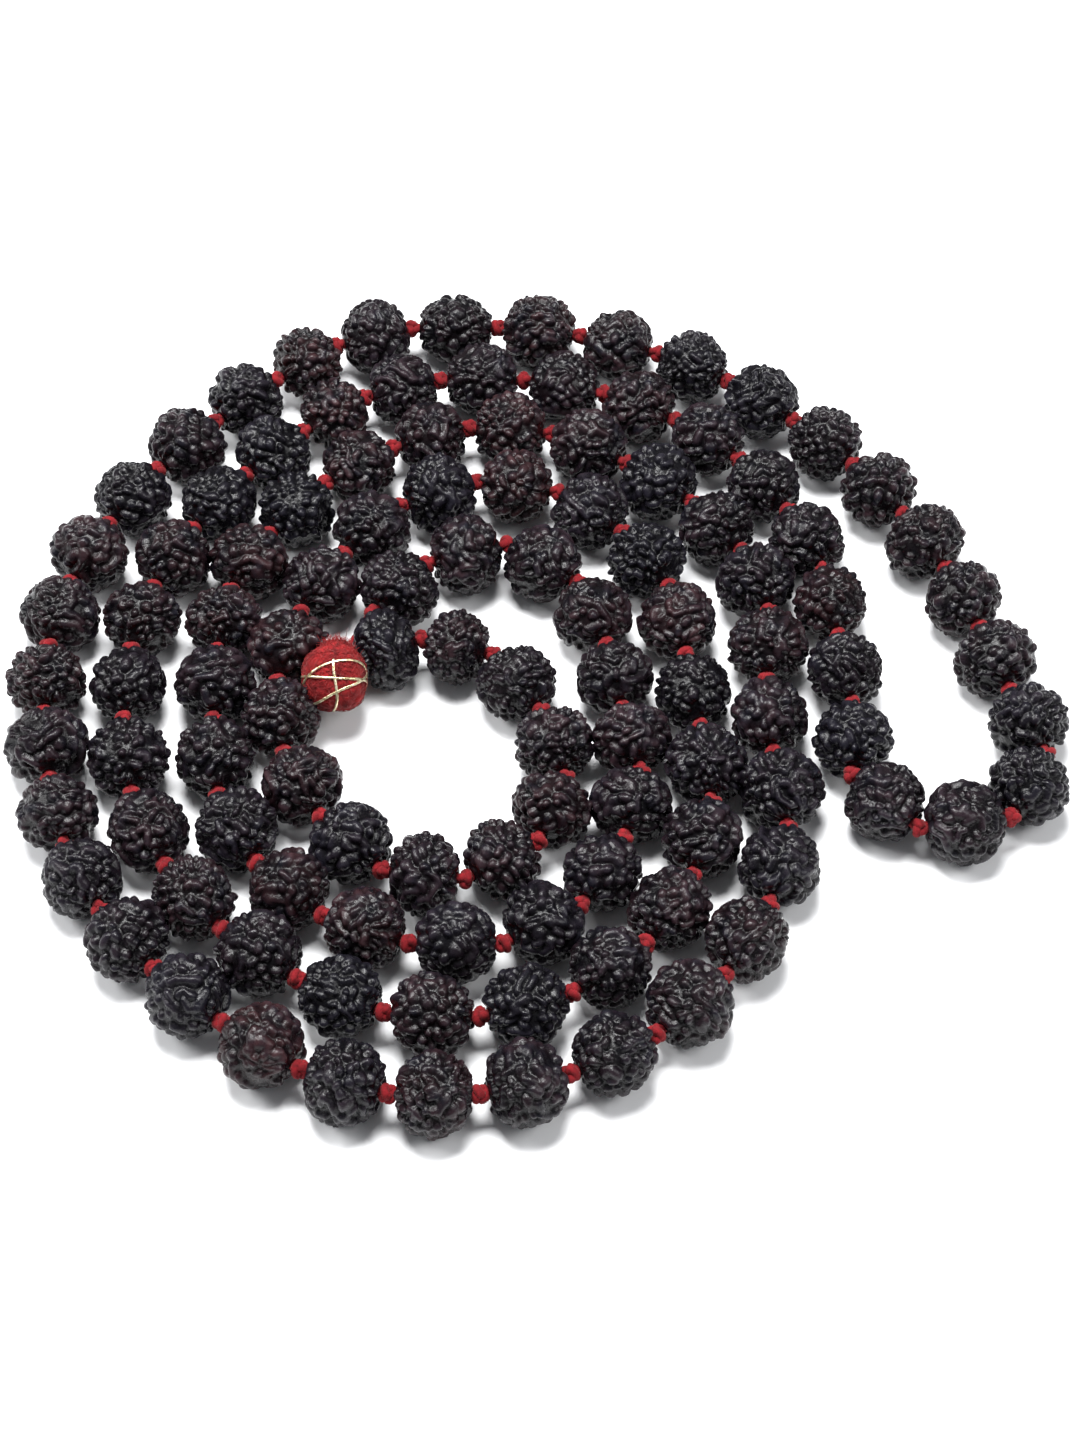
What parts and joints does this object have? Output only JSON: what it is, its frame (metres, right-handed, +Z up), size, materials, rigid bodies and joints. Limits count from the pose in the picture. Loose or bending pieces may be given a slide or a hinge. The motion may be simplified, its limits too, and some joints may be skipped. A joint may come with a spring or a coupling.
{
  "type": "mala prayer beads",
  "caption": "Knotted string of dark seed prayer beads, coiled flat as a double strand, with a free loop at one side and a red wool guru ball laced in gold.",
  "frame": {"origin": "on the table, under the middle of the coil's bounding box", "axes": "+Z up from the table; +X towards the free loop; +Y to the far side of the coil"},
  "size_m": [0.1046, 0.1036, 0.0087],
  "materials": {
    "seed_bead": "dyed, oiled, rough carved surface with semi-gloss highlights",
    "red_thread": "twisted cotton string",
    "red_wool": "felted wool",
    "gold_thread": "pale gold metallic lacing thread",
    "core_bead": "plain"
  },
  "bodies": {
    "coil": {"beads_back_070_077": "seed_bead", "beads_back_078_085": "seed_bead", "beads_back_086_093": "seed_bead", "beads_back_094_101": "seed_bead", "beads_back_102_109": "seed_bead", "beads_out_001_008": "seed_bead", "beads_out_009_016": "seed_bead", "beads_out_017_024": "seed_bead", "beads_out_025_032": "seed_bead", "beads_out_033_040": "seed_bead", "beads_out_041_048": "seed_bead", "beads_out_049_053": "seed_bead", "knots_back": "red_thread", "knots_out": "red_thread", "thread_back": "red_thread", "thread_out": "red_thread"},
    "loop_rung_1": {"thread_rung_1": "red_thread", "knots_rung_1": "red_thread"},
    "bead_054": {"loop_bead_054": "seed_bead"},
    "bead_055": {"loop_bead_055": "seed_bead"},
    "bead_068": {"loop_bead_068": "seed_bead"},
    "bead_069": {"loop_bead_069": "seed_bead"},
    "loop_rung_2": {"thread_rung_2": "red_thread", "knots_rung_2": "red_thread"},
    "bead_056": {"loop_bead_056": "seed_bead"},
    "bead_057": {"loop_bead_057": "seed_bead"},
    "bead_066": {"loop_bead_066": "seed_bead"},
    "bead_067": {"loop_bead_067": "seed_bead"},
    "loop_rung_3": {"thread_rung_3": "red_thread", "knots_rung_3": "red_thread"},
    "bead_058": {"loop_bead_058": "seed_bead"},
    "bead_059": {"loop_bead_059": "seed_bead"},
    "bead_065": {"loop_bead_065": "seed_bead"},
    "loop_rung_4": {"thread_rung_4": "red_thread", "knots_rung_4": "red_thread"},
    "bead_060": {"loop_bead_060": "seed_bead"},
    "bead_064": {"loop_bead_064": "seed_bead"},
    "loop_tip": {"thread_tip": "red_thread", "knots_tip": "red_thread"},
    "bead_061": {"loop_bead_061": "seed_bead"},
    "bead_062": {"loop_bead_062": "seed_bead"},
    "bead_063": {"loop_bead_063": "seed_bead"},
    "guru": {"guru_cord": "red_thread", "guru_core": "core_bead", "guru_wool": "red_wool", "guru_gold_thread": "gold_thread"}
  },
  "joints": [
    {"name": "loop_lift_1", "type": "hinge", "parent": "coil", "child": "loop_rung_1", "pos_m": [0.02062, 0.04015, 0.0039], "axis": [-0.7234, -0.6905, 0], "range_deg": [0, 22]},
    {"name": "bead_054_spin", "type": "hinge", "parent": "loop_rung_1", "child": "bead_054", "pos_m": [0.02399, 0.03732, 0.0039], "axis": [0.7662, -0.6426, 0], "continuous": true},
    {"name": "bead_055_spin", "type": "hinge", "parent": "loop_rung_1", "child": "bead_055", "pos_m": [0.03031, 0.03135, 0.0039], "axis": [0.6841, -0.7294, 0], "continuous": true},
    {"name": "bead_068_spin", "type": "hinge", "parent": "loop_rung_1", "child": "bead_068", "pos_m": [0.02374, 0.02546, 0.0039], "axis": [-0.5656, 0.8247, 0], "continuous": true},
    {"name": "bead_069_spin", "type": "hinge", "parent": "loop_rung_1", "child": "bead_069", "pos_m": [0.01807, 0.03184, 0.0039], "axis": [-0.7541, 0.6567, 0], "continuous": true},
    {"name": "loop_lift_2", "type": "hinge", "parent": "loop_rung_1", "child": "loop_rung_2", "pos_m": [0.03325, 0.02821, 0.0039], "axis": [-0.7452, -0.6668, 0], "range_deg": [0, 22]},
    {"name": "bead_056_spin", "type": "hinge", "parent": "loop_rung_2", "child": "bead_056", "pos_m": [0.03564, 0.02478, 0.0039], "axis": [0.5714, -0.8207, 0], "continuous": true},
    {"name": "bead_057_spin", "type": "hinge", "parent": "loop_rung_2", "child": "bead_057", "pos_m": [0.03997, 0.01767, 0.0039], "axis": [0.4659, -0.8848, 0], "continuous": true},
    {"name": "bead_066_spin", "type": "hinge", "parent": "loop_rung_2", "child": "bead_066", "pos_m": [0.02989, 0.00956, 0.0039], "axis": [-0.109, 0.994, 0], "continuous": true},
    {"name": "bead_067_spin", "type": "hinge", "parent": "loop_rung_2", "child": "bead_067", "pos_m": [0.0278, 0.01788, 0.0039], "axis": [-0.3728, 0.9279, 0], "continuous": true},
    {"name": "loop_lift_3", "type": "hinge", "parent": "loop_rung_2", "child": "loop_rung_3", "pos_m": [0.0419, 0.014, 0.0039], "axis": [-0.7972, -0.6037, 0], "range_deg": [0, 22]},
    {"name": "bead_058_spin", "type": "hinge", "parent": "loop_rung_3", "child": "bead_058", "pos_m": [0.04331, 0.01012, 0.0039], "axis": [0.3403, -0.9403, 0], "continuous": true},
    {"name": "bead_059_spin", "type": "hinge", "parent": "loop_rung_3", "child": "bead_059", "pos_m": [0.04592, 0.00226, 0.0039], "axis": [0.2892, -0.9573, 0], "continuous": true},
    {"name": "bead_065_spin", "type": "hinge", "parent": "loop_rung_3", "child": "bead_065", "pos_m": [0.03087, 0.00094, 0.0039], "axis": [-0.1173, 0.9931, 0], "continuous": true},
    {"name": "loop_lift_4", "type": "hinge", "parent": "loop_rung_3", "child": "loop_rung_4", "pos_m": [0.04712, -0.00172, 0.0039], "axis": [-0.9945, -0.1043, 0], "range_deg": [0, 22]},
    {"name": "bead_060_spin", "type": "hinge", "parent": "loop_rung_4", "child": "bead_060", "pos_m": [0.04853, -0.00563, 0.0039], "axis": [0.3405, -0.9403, 0], "continuous": true},
    {"name": "bead_064_spin", "type": "hinge", "parent": "loop_rung_4", "child": "bead_064", "pos_m": [0.03109, -0.00769, 0.0039], "axis": [0.068, 0.9977, 0], "continuous": true},
    {"name": "loop_lift_5", "type": "hinge", "parent": "loop_rung_4", "child": "loop_tip", "pos_m": [0.04995, -0.00954, 0.0039], "axis": [-0.9917, -0.1283, 0], "range_deg": [0, 22]},
    {"name": "bead_061_spin", "type": "hinge", "parent": "loop_tip", "child": "bead_061", "pos_m": [0.04788, -0.01334, 0.0039], "axis": [-0.4781, -0.8783, 0], "continuous": true},
    {"name": "bead_062_spin", "type": "hinge", "parent": "loop_tip", "child": "bead_062", "pos_m": [0.04137, -0.01773, 0.0039], "axis": [-0.991, -0.1336, 0], "continuous": true},
    {"name": "bead_063_spin", "type": "hinge", "parent": "loop_tip", "child": "bead_063", "pos_m": [0.03386, -0.01517, 0.0039], "axis": [-0.6965, 0.7176, 0], "continuous": true},
    {"name": "guru_lift", "type": "hinge", "parent": "coil", "child": "guru", "pos_m": [-0.01835, 0.00236, 0.0039], "axis": [-0.9321, 0.3622, 0], "range_deg": [0, 25]}
  ]
}
